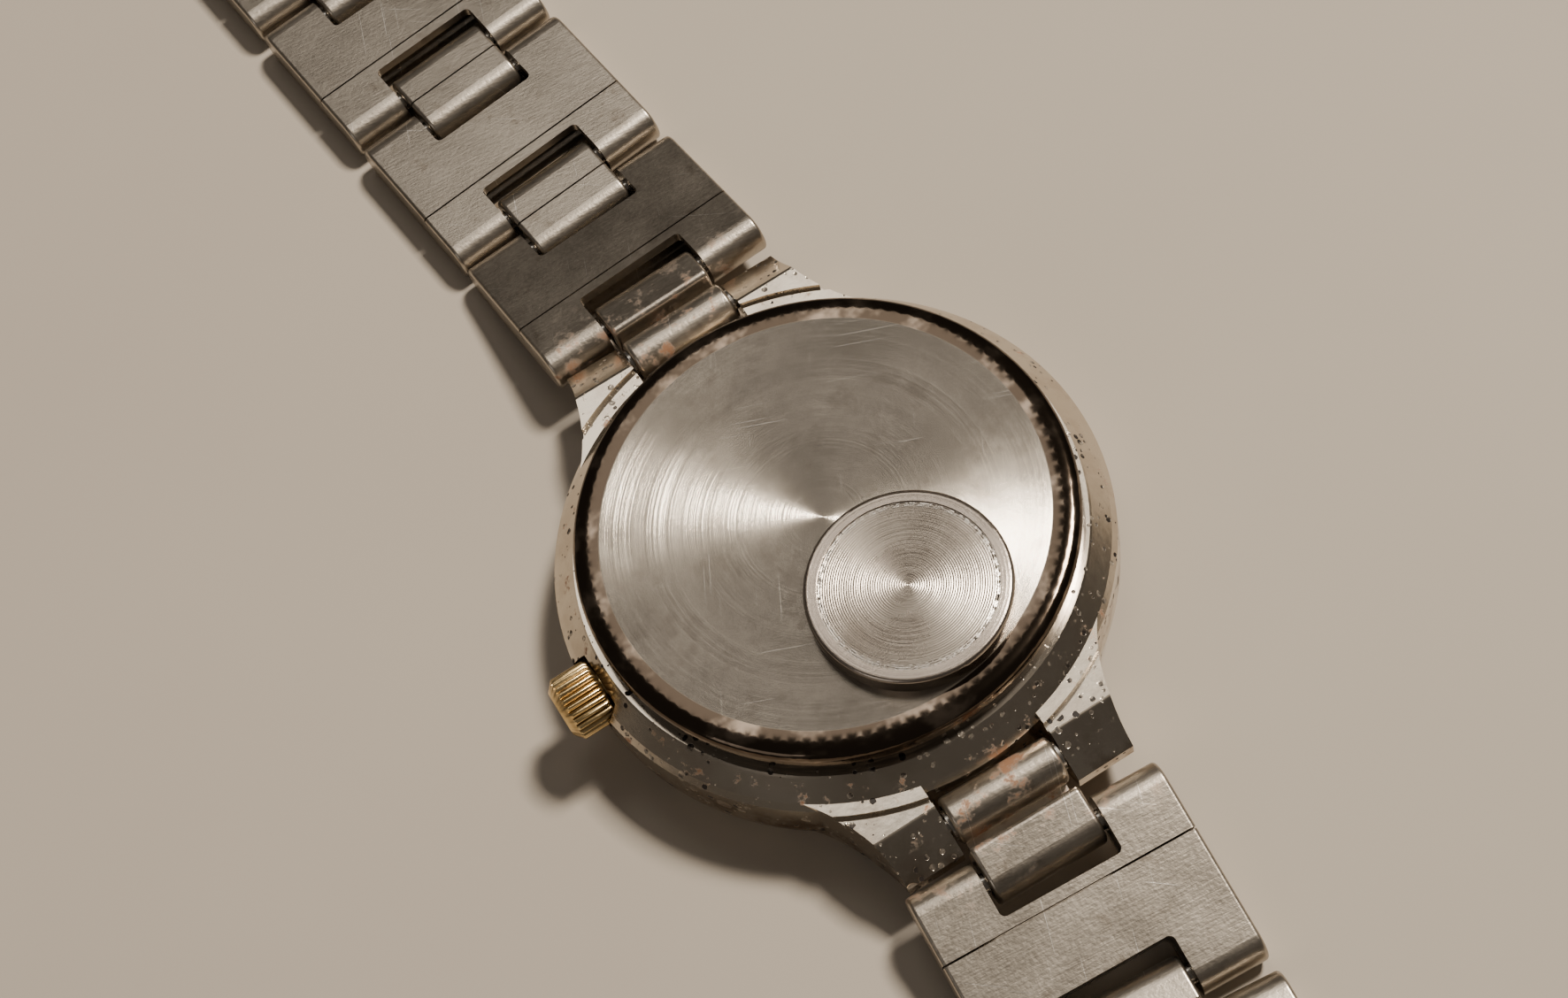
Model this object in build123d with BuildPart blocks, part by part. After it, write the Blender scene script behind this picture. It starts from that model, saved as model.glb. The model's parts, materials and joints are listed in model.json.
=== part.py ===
"""Quartz wristwatch, face down, with its folded-link bracelet laid out flat.

Millimetres. The origin is the centre of the crystal's outer face, +Z points out of
the case back, +Y towards 12 o'clock, and the crown is on the -X side.
"""
from build123d import *
import math
import os

os.makedirs("parts", exist_ok=True)

# ---------------------------------------------------------------- driving sizes
# Case and crystal
case_radius = 13.25
bezel_radius = 12.1
bezel_z = 0.35
bezel_round_z = 2.0
bezel_arc_radius = 1.9
rim_z = 5.6
rim_radius = 12.05
rim_chamfer = 0.1
ledge_radius = 13.0
ledge_z = 4.6
side_top_z = 4.3
crystal_radius = 11.0
crystal_thickness = 1.2
crystal_gasket_wall = 0.3
crystal_gasket_z = 0.45
crystal_chamfer = 0.15
rehaut_radius = 10.4
dial_z = 2.9
dial_thickness = 0.4
dial_radius = 11.0
dial_hole_clearance = 0.2
case_bore_radius = 11.1
case_wall_reach = 2.0

# Case back and its seal
back_flange_radius = 11.8
back_wall_height = 1.0
back_flat_radius = 10.5
back_height = 1.5
back_plate = 0.6
back_recess_inset = 0.2
back_lip_radius = 11.45
back_lip_wall = 0.35
back_lip_depth = 0.85
back_seat_clearance = 0.05
back_seat_depth = 1.2
back_gasket_height = 0.25
back_gasket_radius = 11.75

# Battery cell, its hatch and its seal
cell_radius = 3.4
cell_height = 2.6
cell_base_z = 4.9
cell_rim_round = 0.25
cell_angle = -77.5
cell_offset = 5.72
hatch_radius = 4.76
hatch_height = 1.0
hatch_spigot_radius = 4.1
hatch_bore_clearance = 0.05
hatch_cavity_clearance = 0.2
hatch_cavity_play = 0.1
hatch_disc_radius = 4.15
hatch_disc_depth = 0.08
hatch_gasket_height = 0.25
hatch_gasket_depth = 0.2
hatch_groove_step = 0.12
hatch_edge_round = 0.2

# Lugs and spring bars
bracelet_width = 12.7
lug_gap = 6.1
lug_bar_y = 14.5
lug_bar_z = 3.55
lug_root_y = 9.2
lug_facet_y = 13.85
lug_tip_y = 15.9
lug_tip_z = 3.2
lug_tip_low_z = 2.5
lug_low_z = 1.1
lug_low_y = 13.5
lug_flare_x = 8.9
lug_waist = (6.78, 12.2)
lug_tip_x = 5.95
spring_bar_radius = 0.75
spring_tip_radius = 0.38
spring_tip_length = 0.9
spring_hole_clearance = 0.04
spring_bar_end_play = 0.1
lug_tip_round = 0.3
lug_groove_radius = 13.6
lug_groove_width = 0.33
lug_groove_depth = 0.35

# Bracelet
sheet = 0.5
link_radius = 1.1
pin_radius = 0.5
pin_play = 0.1
fit = 0.05
link_pitch = 7.7
center_pitch = 2.6
end_link_pitch = 3.2
end_barrel_radius = 1.15
center_width = 5.6
slot_depth = 1.8
link_seam_offset = 2.4
seam_width = 0.1
slot_corner = 0.3
edge_round = 0.2
end_link_slope = 14.0
links_per_side = 4
end_link_notch = 0.4
end_link_round = 0.3
# how far each piece, from the end link outwards, has swung sideways in its play
sideways = (1.9, 3.8, 5.6, 6.2, 6.2, 6.2, 6.2, 6.2)

# Crown
crown_z = 4.1
crown_radius = 1.6
crown_inner_x = 12.55
crown_body_length = 1.85
crown_bevel_length = 0.45
crown_face_radius = 1.15
crown_flutes = 25
crown_flute_radius = 0.11
crown_wall = 0.35
crown_cavity_depth = 1.35
crown_pocket_clearance = 0.15
tube_radius = 0.85
tube_bore_radius = 0.5
tube_inner_x = 11.55
tube_outer_x = 13.5
stem_radius = 0.45
stem_inner_x = 6.0
stem_groove_radius = 0.3
stem_groove_inset = 1.2
stem_groove_length = 0.3
stem_end_room = 0.4
crown_gasket_section = 0.3
crown_gasket_depth = 0.45

# Movement
movement_radius = 9.15
holder_clearance = 0.05
holder_radius = 10.95
holder_top_z = 5.5
plate_thickness = 0.8
plate_recess_depth = 0.5
bridge_z = 5.3
bridge_thickness = 0.4
board_thickness = 0.25
pivot_radius = 0.1
second_arbor_radius = 0.12
minute_pipe_radius = 0.35
hour_pipe_radius = 0.65
wheel_thickness = 0.12
third_angle = 130.0
step_angle = 35.0
rotor_angle = 10.0
motion_angle = 90.0
# toothed wheels: teeth and modules, from the rotor to the hour wheel
rotor_pinion_teeth = 8
step_wheel_teeth = 48
step_module = 0.06
step_pinion_teeth = 8
second_wheel_teeth = 40
second_module = 0.11
second_pinion_teeth = 8
third_wheel_teeth = 60
third_module = 0.08
third_pinion_teeth = 8
minute_wheel_teeth = 64
minute_pinion_teeth = 12
motion_wheel_teeth = 36
motion_module = 0.1
motion_pinion_teeth = 10
hour_wheel_teeth = 40
hour_module = 0.096
# heights of the wheels above the plate, or below it for the motion work
centre_wheel_lift = 0.1
third_wheel_lift = 0.35
second_wheel_lift = 0.6
step_wheel_lift = 0.9
motion_pinion_lift = 0.05
motion_wheel_lift = 0.25
rotor_magnet_radius = 0.6
rotor_magnet_lift = 0.08
rotor_magnet_length = 0.52
arbor_end_play = 0.05
centre_recess_radius = 2.2
motion_recess_radius = 2.1
motion_stud_radius = 0.15
motion_hub_radius = 0.3
stem_slot_clearance = 0.1
bridge_inset = 0.2
bridge_top_y = 5.6
bridge_low_y = 1.0
bridge_cell_gap = 0.2
pillar_radius = 0.5
board_inset = 0.4
board_top_y = 5.4
board_low_y = 0.6
board_cell_gap = 0.4
chip_place = (-4.4, 2.0)
chip_size = 2.0
chip_height = 0.35
crystal_can_radius = 0.3
crystal_can_length = 4.2
crystal_can_start = 0.6
crystal_can_y = 3.6
crystal_can_sink = 0.05
coil_y = 6.6
coil_half = 3.2
coil_radius = 0.7
coil_gap = 0.1
coil_tab = 0.9
coil_tab_height = 0.3
stator_gap = 0.05
stator_thickness = 0.25
stator_arm_y = 5.35
stator_arm_width = 0.7
stator_leg_width = 1.4
stator_leg_length = 2.0
stator_leg_y = 6.0
stator_pole_width = 1.85
stator_pole_length = 4.6
stator_pole_y = 3.3
stator_bore_radius = 0.75
contact_thickness = 0.12
contact_width = 1.4
contact_length = 3.8
contact_shift = 1.2
contact_foot_shift = 2.9
contact_foot = 0.4
clip_gap = 0.2
clip_thickness = 0.2
clip_width = 2.0
clip_height = 1.4

# Hands
second_hand_z = 1.55
minute_hand_z = 1.95
hour_hand_z = 2.35
hand_thickness = 0.12
second_hand_length = 9.6
minute_hand_length = 9.0
hour_hand_length = 6.2

# Clasp
ladder_length = 20.0
ladder_thickness = 0.8
ladder_slots = 5
ladder_slot_pitch = 3.2
ladder_slot_length = 1.5
ladder_slot_width = 3.8
ladder_slots_shift = 1.8
clasp_length = 22.0
clasp_channel_width = 7.0
clasp_wall = 0.5
clasp_pin_radius = 0.35
clasp_side_gap = 0.15
clasp_neck = 0.6
clasp_pin_inset = 1.2
clasp_pin_wall = 0.5
clasp_wall_drop = 0.5
catch_offset = 2.0
catch_height = 0.8
catch_length = 0.9
catch_width = 3.2
flap_wall = 0.45
flap_height = 1.8
flap_relief_radius = 2.0
flap_round = 0.25

# ---------------------------------------------------------------- derived places
crystal_bore_radius = crystal_radius + crystal_gasket_wall
dial_back_z = dial_z + dial_thickness
back_wall_z = rim_z + back_wall_height
back_flat_z = rim_z + back_height
back_inner_z = back_flat_z - back_plate
hatch_bore_radius = hatch_spigot_radius + hatch_bore_clearance
hatch_top_z = back_flat_z + hatch_height
cell_x = cell_offset * math.cos(math.radians(cell_angle))
cell_y = cell_offset * math.sin(math.radians(cell_angle))
plate_top_z = dial_back_z + plate_thickness
recess_top_z = dial_back_z + plate_recess_depth
bridge_top_z = bridge_z + bridge_thickness
side_x = bracelet_width / 2
fold_radius = link_radius - sheet


def save(piece, name):
    """Label a finished piece and write it."""
    piece.part.label = name
    export_step(piece.part, f"parts/{name}.step")


def polar(distance, degrees):
    """Point at a distance and angle from the centre of the movement."""
    angle = math.radians(degrees)
    return distance * math.cos(angle), distance * math.sin(angle)


def ring(inner, outer, low, high):
    """Add a flat ring about the Z axis to the current part."""
    with BuildSketch(Plane.XY.offset(low)) as profile:
        Circle(outer)
        Circle(inner, mode=Mode.SUBTRACT)
    extrude(profile.sketch, amount=high - low)


# ---------------------------------------------------------------- case
with BuildPart() as lugs:
    with BuildSketch(Plane.YZ) as lug_profile:
        with BuildLine():
            Polyline(
                (lug_root_y, ledge_z),
                (lug_facet_y, ledge_z),
                (lug_tip_y, lug_tip_z),
                (lug_tip_y, lug_tip_low_z),
                (lug_low_y, lug_low_z),
                (lug_root_y, lug_low_z),
                close=True,
            )
        make_face()
        fillet(lug_profile.vertices().group_by(Axis.Y)[-1], radius=lug_tip_round)
    extrude(amount=lug_flare_x)
    with BuildSketch():
        with BuildLine():
            Polyline(
                (lug_flare_x, lug_root_y),
                (lug_gap / 2, lug_root_y),
                (lug_gap / 2, lug_tip_y),
                (lug_tip_x, lug_tip_y),
            )
            ThreePointArc((lug_tip_x, lug_tip_y), lug_waist, (lug_flare_x, lug_root_y))
        make_face()
    extrude(amount=rim_z, mode=Mode.INTERSECT)
    mirror(about=Plane.XZ)
    mirror(about=Plane.YZ)

with BuildPart() as case_body:
    with BuildSketch(Plane.XZ):
        with BuildLine():
            Line((0, bezel_z), (bezel_radius, bezel_z))
            RadiusArc((bezel_radius, bezel_z), (case_radius, bezel_round_z), -bezel_arc_radius)
            Polyline(
                (case_radius, bezel_round_z),
                (case_radius, side_top_z),
                (ledge_radius, ledge_z),
                (rim_radius + rim_chamfer, rim_z - rim_chamfer),
                (rim_radius, rim_z),
                (0, rim_z),
                (0, bezel_z),
            )
        make_face()
    revolve(axis=Axis.Z)
    add(lugs.part)
    # interior, from the crystal seat up to the back seat
    with BuildSketch(Plane.XY.offset(bezel_z)):
        Circle(crystal_bore_radius)
    extrude(amount=crystal_thickness - bezel_z, mode=Mode.SUBTRACT)
    with BuildSketch(Plane.XY.offset(crystal_thickness)):
        Circle(rehaut_radius)
    extrude(amount=dial_z - crystal_thickness, mode=Mode.SUBTRACT)
    with BuildSketch(Plane.XY.offset(dial_z)):
        Circle(case_bore_radius)
    extrude(amount=rim_z - dial_z, mode=Mode.SUBTRACT)
    with BuildSketch(Plane.XY.offset(rim_z - back_seat_depth)):
        Circle(back_lip_radius + back_seat_clearance)
    extrude(amount=back_seat_depth, mode=Mode.SUBTRACT)
    with BuildSketch(Plane.XY.offset(rim_z - back_gasket_height)):
        Circle(back_gasket_radius)
    extrude(amount=back_gasket_height, mode=Mode.SUBTRACT)
    # turned groove across the lugs
    with BuildSketch(Plane.XY.offset(ledge_z - lug_groove_depth)):
        Circle(lug_groove_radius + lug_groove_width)
        Circle(lug_groove_radius, mode=Mode.SUBTRACT)
    extrude(amount=lug_groove_depth, mode=Mode.SUBTRACT)
    # crown pocket and the bore for the crown tube
    with BuildSketch(Plane.YZ.offset(-crown_inner_x + fit)):
        with Locations((0, crown_z)):
            Circle(crown_radius + crown_pocket_clearance)
    extrude(amount=-case_wall_reach, mode=Mode.SUBTRACT)
    with BuildSketch(Plane.YZ.offset(-back_lip_radius)):
        with Locations((0, crown_z)):
            Circle(tube_radius)
    extrude(amount=-case_wall_reach, mode=Mode.SUBTRACT)
    with BuildSketch(Plane.YZ.offset(-rehaut_radius)):
        with Locations((0, crown_z)):
            Circle(tube_bore_radius)
    extrude(amount=-case_wall_reach, mode=Mode.SUBTRACT)
    # blind holes for the spring bars, in the lugs' inner faces
    with BuildSketch(Plane.YZ):
        with Locations((lug_bar_y, lug_bar_z), (-lug_bar_y, lug_bar_z)):
            Circle(spring_tip_radius + spring_hole_clearance)
    extrude(amount=lug_gap / 2 + spring_tip_length + spring_bar_end_play, both=True, mode=Mode.SUBTRACT)
save(case_body, "case_body")

# ---------------------------------------------------------------- crystal and dial
with BuildPart() as crystal:
    with BuildSketch():
        Circle(crystal_radius)
    extrude(amount=crystal_thickness)
    chamfer(crystal.edges().group_by(Axis.Z)[0], length=crystal_chamfer)
save(crystal, "crystal")

with BuildPart() as crystal_gasket:
    ring(crystal_radius, crystal_bore_radius, crystal_gasket_z, crystal_thickness)
save(crystal_gasket, "crystal_gasket")

with BuildPart() as dial:
    ring(hour_pipe_radius + dial_hole_clearance, dial_radius, dial_z, dial_back_z)
save(dial, "dial")

# ---------------------------------------------------------------- case back
with BuildPart() as case_back:
    with BuildSketch(Plane.XZ):
        with BuildLine():
            Polyline((0, rim_z), (back_flange_radius, rim_z), (back_flange_radius, back_wall_z))
            Spline(
                (back_flange_radius, back_wall_z),
                (back_flat_radius, back_flat_z),
                tangents=((0, 1), (-1, 0)),
            )
            Polyline((back_flat_radius, back_flat_z), (0, back_flat_z), (0, rim_z))
        make_face()
    revolve(axis=Axis.Z)
    with BuildSketch(Plane.XY.offset(rim_z)):
        Circle(back_lip_radius)
    extrude(amount=-back_lip_depth)
    with BuildSketch(Plane.XY.offset(rim_z - back_lip_depth)):
        Circle(back_lip_radius - back_lip_wall)
    extrude(amount=back_lip_depth, mode=Mode.SUBTRACT)
    with BuildSketch(Plane.XY.offset(rim_z)):
        Circle(back_flat_radius - back_recess_inset)
    extrude(amount=back_inner_z - rim_z, mode=Mode.SUBTRACT)
    with BuildSketch(Plane.XY.offset(back_inner_z)):
        with Locations((cell_x, cell_y)):
            Circle(hatch_bore_radius)
    extrude(amount=back_plate, mode=Mode.SUBTRACT)
save(case_back, "case_back")

with BuildPart() as case_back_gasket:
    ring(back_lip_radius + back_seat_clearance, back_gasket_radius, rim_z - back_gasket_height, rim_z)
save(case_back_gasket, "case_back_gasket")

# ---------------------------------------------------------------- hatch and cell
groove_low_z = back_inner_z + hatch_groove_step
with BuildPart() as battery_hatch:
    with BuildSketch(Plane.XY.offset(back_flat_z)):
        with Locations((cell_x, cell_y)):
            Circle(hatch_radius)
    extrude(amount=hatch_height)
    fillet(battery_hatch.edges().group_by(Axis.Z)[-1], radius=hatch_edge_round)
    with BuildSketch(Plane.XY.offset(back_inner_z)):
        with Locations((cell_x, cell_y)):
            Circle(hatch_spigot_radius)
    extrude(amount=back_plate)
    with BuildSketch(Plane.XY.offset(groove_low_z)):
        with Locations((cell_x, cell_y)):
            Circle(hatch_spigot_radius)
            Circle(hatch_spigot_radius - hatch_gasket_depth, mode=Mode.SUBTRACT)
    extrude(amount=hatch_gasket_height, mode=Mode.SUBTRACT)
    with BuildSketch(Plane.XY.offset(back_inner_z)):
        with Locations((cell_x, cell_y)):
            Circle(cell_radius + hatch_cavity_clearance)
    extrude(amount=cell_base_z + cell_height + hatch_cavity_play - back_inner_z, mode=Mode.SUBTRACT)
    with BuildSketch(Plane.XY.offset(hatch_top_z - hatch_disc_depth)):
        with Locations((cell_x, cell_y)):
            Circle(hatch_disc_radius)
    extrude(amount=hatch_disc_depth, mode=Mode.SUBTRACT)
save(battery_hatch, "battery_hatch")

with BuildPart() as hatch_gasket:
    with BuildSketch(Plane.XY.offset(groove_low_z)):
        with Locations((cell_x, cell_y)):
            Circle(hatch_spigot_radius)
            Circle(hatch_spigot_radius - hatch_gasket_depth, mode=Mode.SUBTRACT)
    extrude(amount=hatch_gasket_height)
save(hatch_gasket, "hatch_gasket")

with BuildPart() as battery:
    with BuildSketch(Plane.XY.offset(cell_base_z)):
        with Locations((cell_x, cell_y)):
            Circle(cell_radius)
    extrude(amount=cell_height)
    fillet(battery.edges().group_by(Axis.Z)[-1], radius=cell_rim_round)
    fillet(battery.edges().group_by(Axis.Z)[0], radius=cell_rim_round)
save(battery, "battery")

# ---------------------------------------------------------------- crown
crown_plane = Plane(origin=(-crown_inner_x, 0, crown_z), x_dir=(0, 1, 0), z_dir=(-1, 0, 0))
with BuildPart() as crown:
    with BuildSketch(crown_plane):
        Circle(crown_radius)
        with PolarLocations(crown_radius, crown_flutes):
            Circle(crown_flute_radius, mode=Mode.SUBTRACT)
    extrude(amount=crown_body_length)
    with BuildSketch(crown_plane.offset(crown_body_length)):
        Circle(crown_radius - crown_flute_radius)
    with BuildSketch(crown_plane.offset(crown_body_length + crown_bevel_length)):
        Circle(crown_face_radius)
    loft()
    with BuildSketch(crown_plane):
        Circle(crown_radius - crown_wall)
    extrude(amount=crown_cavity_depth, mode=Mode.SUBTRACT)
save(crown, "crown")

with BuildPart() as crown_stem:
    with BuildSketch(Plane.YZ.offset(-crown_inner_x - crown_cavity_depth)):
        with Locations((0, crown_z)):
            Circle(stem_radius)
    extrude(amount=crown_inner_x + crown_cavity_depth - stem_inner_x)
    with BuildSketch(Plane.YZ.offset(-stem_inner_x - stem_groove_inset)):
        with Locations((0, crown_z)):
            Circle(stem_radius)
            Circle(stem_groove_radius, mode=Mode.SUBTRACT)
    extrude(amount=stem_groove_length, mode=Mode.SUBTRACT)
save(crown_stem, "crown_stem")

with BuildPart() as crown_tube:
    with BuildSketch(Plane.YZ.offset(-tube_inner_x)):
        with Locations((0, crown_z)):
            Circle(tube_radius)
            Circle(tube_bore_radius, mode=Mode.SUBTRACT)
    extrude(amount=-(tube_outer_x - tube_inner_x))
save(crown_tube, "crown_tube")

with BuildPart() as crown_gasket:
    with BuildSketch(Plane.YZ.offset(-crown_inner_x - crown_gasket_depth)):
        with Locations((0, crown_z)):
            Circle(tube_radius + fit + crown_gasket_section)
            Circle(tube_radius + fit, mode=Mode.SUBTRACT)
    extrude(amount=-crown_gasket_section)
save(crown_gasket, "crown_gasket")

# ---------------------------------------------------------------- spring bars
with BuildPart() as spring_bars:
    for half_length, radius in (
        (lug_gap / 2 - spring_bar_end_play, spring_bar_radius),
        (lug_gap / 2 + spring_tip_length, spring_tip_radius),
    ):
        with BuildSketch(Plane.YZ):
            with Locations((lug_bar_y, lug_bar_z), (-lug_bar_y, lug_bar_z)):
                Circle(radius)
        extrude(amount=half_length, both=True)
save(spring_bars, "spring_bars")

# ---------------------------------------------------------------- movement
third_distance = (second_pinion_teeth + third_wheel_teeth) * third_module / 2
minute_module = 2 * third_distance / (third_pinion_teeth + minute_wheel_teeth)
step_distance = (step_pinion_teeth + second_wheel_teeth) * second_module / 2
rotor_distance = (rotor_pinion_teeth + step_wheel_teeth) * step_module / 2
motion_distance = (minute_pinion_teeth + motion_wheel_teeth) * motion_module / 2
third_x, third_y = polar(third_distance, third_angle)
step_x, step_y = polar(step_distance, step_angle)
rotor_x = step_x + polar(rotor_distance, rotor_angle)[0]
rotor_y = step_y + polar(rotor_distance, rotor_angle)[1]
motion_x, motion_y = polar(motion_distance, motion_angle)
pillar_places = ((-6.6, 2.6), (-5.4, 4.6), (6.4, 3.6), (6.9, 0.2))


def gear(x, y, low, teeth, module, toward=0.0, tooth=True, thickness=wheel_thickness):
    """Add a toothed disc; a tooth, or a gap, faces the angle given."""
    pitch_radius = teeth * module / 2
    tip = pitch_radius + 0.9 * module
    root = pitch_radius - 1.1 * module
    step = 2 * math.pi / teeth
    start = math.radians(toward) + (0 if tooth else step / 2)
    outline = []
    for number in range(teeth):
        angle = start + number * step
        for radius, share in ((root, -0.32), (tip, -0.12), (tip, 0.12), (root, 0.32)):
            turn = angle + share * step
            outline.append((x + radius * math.cos(turn), y + radius * math.sin(turn)))
    with BuildSketch(Plane.XY.offset(low)) as profile:
        with BuildLine():
            Polyline(*outline, close=True)
        make_face()
    extrude(profile.sketch, amount=thickness)


def arbor(x, y, low, high, radius=pivot_radius, mode=Mode.ADD):
    """Add or cut an upright round rod."""
    with BuildSketch(Plane.XY.offset(low)) as profile:
        with Locations((x, y)):
            Circle(radius)
    extrude(profile.sketch, amount=high - low, mode=mode)


centre_level = plate_top_z + centre_wheel_lift
third_level = plate_top_z + third_wheel_lift
second_level = plate_top_z + second_wheel_lift
step_level = plate_top_z + step_wheel_lift
motion_low = dial_back_z + motion_pinion_lift
motion_high = dial_back_z + motion_wheel_lift
arbor_low_z = recess_top_z + arbor_end_play
arbor_high_z = bridge_top_z - arbor_end_play
stem_slot = 2 * (stem_radius + stem_slot_clearance)

with BuildPart() as main_plate:
    with BuildSketch(Plane.XY.offset(dial_back_z)):
        Circle(movement_radius)
    extrude(amount=plate_thickness)
    with BuildSketch(Plane.XY.offset(dial_back_z)):
        Circle(centre_recess_radius)
        with Locations((motion_x, motion_y)):
            Circle(motion_recess_radius)
    extrude(amount=plate_recess_depth, mode=Mode.SUBTRACT)
    arbor(0, 0, recess_top_z, plate_top_z, minute_pipe_radius + fit, Mode.SUBTRACT)
    arbor(motion_x, motion_y, motion_low, recess_top_z, motion_stud_radius)
    for x, y in ((third_x, third_y), (step_x, step_y), (rotor_x, rotor_y)):
        arbor(x, y, recess_top_z, plate_top_z, pivot_radius + fit, Mode.SUBTRACT)
    with BuildSketch(Plane.YZ.offset(-movement_radius)):
        with Locations((0, crown_z)):
            Rectangle(stem_slot, stem_slot)
    extrude(amount=movement_radius - stem_inner_x + stem_end_room, mode=Mode.SUBTRACT)
save(main_plate, "main_plate")

with BuildPart() as movement_holder:
    ring(movement_radius + holder_clearance, holder_radius, dial_back_z, holder_top_z)
    with BuildSketch(Plane.YZ.offset(-holder_radius)):
        with Locations((0, crown_z)):
            Rectangle(stem_slot, stem_slot)
    extrude(amount=holder_radius - movement_radius + stem_end_room, mode=Mode.SUBTRACT)
save(movement_holder, "movement_holder")

with BuildPart() as train_bridge:
    with BuildSketch(Plane.XY.offset(bridge_z)):
        Circle(movement_radius - bridge_inset)
        with Locations((cell_x, cell_y)):
            Circle(cell_radius + bridge_cell_gap, mode=Mode.SUBTRACT)
        with Locations((0, movement_radius)):
            Rectangle(2 * movement_radius, 2 * (movement_radius - bridge_top_y), mode=Mode.SUBTRACT)
        with Locations((0, -movement_radius)):
            Rectangle(2 * movement_radius, 2 * (movement_radius - bridge_low_y), mode=Mode.SUBTRACT)
    extrude(amount=bridge_thickness)
    for x, y in pillar_places:
        arbor(x, y, plate_top_z, bridge_z, pillar_radius)
    for x, y in ((0, 0), (third_x, third_y), (step_x, step_y), (rotor_x, rotor_y)):
        arbor(x, y, bridge_z, bridge_top_z, second_arbor_radius + fit, Mode.SUBTRACT)
save(train_bridge, "train_bridge")

board_top_z = bridge_top_z + board_thickness
with BuildPart() as circuit_board:
    with BuildSketch(Plane.XY.offset(bridge_top_z)):
        Circle(movement_radius - board_inset)
        with Locations((cell_x, cell_y)):
            Circle(cell_radius + board_cell_gap, mode=Mode.SUBTRACT)
        with Locations((0, movement_radius)):
            Rectangle(2 * movement_radius, 2 * (movement_radius - board_top_y), mode=Mode.SUBTRACT)
        with Locations((0, -movement_radius)):
            Rectangle(2 * movement_radius, 2 * (movement_radius - board_low_y), mode=Mode.SUBTRACT)
    extrude(amount=board_thickness)
    with BuildSketch(Plane.XY.offset(board_top_z)):
        with Locations(chip_place):
            Rectangle(chip_size, chip_size)
    extrude(amount=chip_height)
    with BuildSketch(Plane.YZ.offset(crystal_can_start)):
        with Locations((crystal_can_y, board_top_z + crystal_can_radius - crystal_can_sink)):
            Circle(crystal_can_radius)
    extrude(amount=crystal_can_length)
save(circuit_board, "circuit_board")

stator_low = plate_top_z + stator_gap
stator_high = stator_low + stator_thickness
coil_z = stator_high + coil_radius + coil_gap
coil_tab_x = coil_half + coil_tab / 2
with BuildPart() as coil:
    with BuildSketch(Plane.YZ):
        with Locations((coil_y, coil_z)):
            Circle(coil_radius)
    extrude(amount=coil_half, both=True)
    with BuildSketch(Plane.XY.offset(stator_high)):
        with Locations((-coil_tab_x, coil_y), (coil_tab_x, coil_y)):
            Rectangle(coil_tab, coil_tab)
    extrude(amount=coil_z + coil_tab_height - stator_high)
save(coil, "coil")

stator_leg_x = coil_half + stator_leg_width / 2
with BuildPart() as stator:
    with BuildSketch(Plane.XY.offset(stator_low)):
        with Locations((0, stator_arm_y)):
            Rectangle(2 * stator_leg_x + stator_leg_width, stator_arm_width)
        with Locations((-stator_leg_x, stator_leg_y), (stator_leg_x, stator_leg_y)):
            Rectangle(stator_leg_width, stator_leg_length)
        with Locations((rotor_x, stator_pole_y)):
            Rectangle(stator_pole_width, stator_pole_length)
        with Locations((rotor_x, rotor_y)):
            Circle(stator_bore_radius, mode=Mode.SUBTRACT)
    extrude(amount=stator_high - stator_low)
save(stator, "stator")

magnet_low_z = plate_top_z + rotor_magnet_lift
with BuildPart() as rotor:
    arbor(rotor_x, rotor_y, arbor_low_z, arbor_high_z)
    arbor(rotor_x, rotor_y, magnet_low_z, magnet_low_z + rotor_magnet_length, rotor_magnet_radius)
    gear(rotor_x, rotor_y, step_level, rotor_pinion_teeth, step_module, rotor_angle + 180, False)
save(rotor, "rotor")

with BuildPart() as step_wheel:
    arbor(step_x, step_y, arbor_low_z, arbor_high_z)
    gear(step_x, step_y, step_level, step_wheel_teeth, step_module, rotor_angle)
    gear(step_x, step_y, second_level, step_pinion_teeth, second_module, step_angle + 180, False)
save(step_wheel, "step_wheel")

with BuildPart() as second_wheel:
    arbor(0, 0, second_hand_z, arbor_high_z, second_arbor_radius)
    gear(0, 0, second_level, second_wheel_teeth, second_module, step_angle)
    gear(0, 0, third_level, second_pinion_teeth, third_module, third_angle, False)
save(second_wheel, "second_wheel")

with BuildPart() as third_wheel:
    arbor(third_x, third_y, arbor_low_z, arbor_high_z)
    gear(third_x, third_y, third_level, third_wheel_teeth, third_module, third_angle + 180)
    gear(third_x, third_y, centre_level, third_pinion_teeth, minute_module, third_angle + 180, False)
save(third_wheel, "third_wheel")

minute_pipe_top_z = third_level - arbor_end_play
with BuildPart() as minute_wheel:
    arbor(0, 0, minute_hand_z, minute_pipe_top_z, minute_pipe_radius)
    gear(0, 0, centre_level, minute_wheel_teeth, minute_module, third_angle)
    gear(0, 0, motion_high, minute_pinion_teeth, motion_module, motion_angle, False)
    arbor(0, 0, minute_hand_z, minute_pipe_top_z, second_arbor_radius + fit, Mode.SUBTRACT)
save(minute_wheel, "minute_wheel")

motion_top_z = motion_high + wheel_thickness
with BuildPart() as motion_wheel:
    gear(motion_x, motion_y, motion_high, motion_wheel_teeth, motion_module, motion_angle + 180)
    gear(motion_x, motion_y, motion_low, motion_pinion_teeth, hour_module, motion_angle + 180, False)
    arbor(motion_x, motion_y, motion_low, motion_high, motion_hub_radius)
    arbor(motion_x, motion_y, motion_low, motion_top_z, motion_stud_radius + fit, Mode.SUBTRACT)
save(motion_wheel, "motion_wheel")

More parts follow.
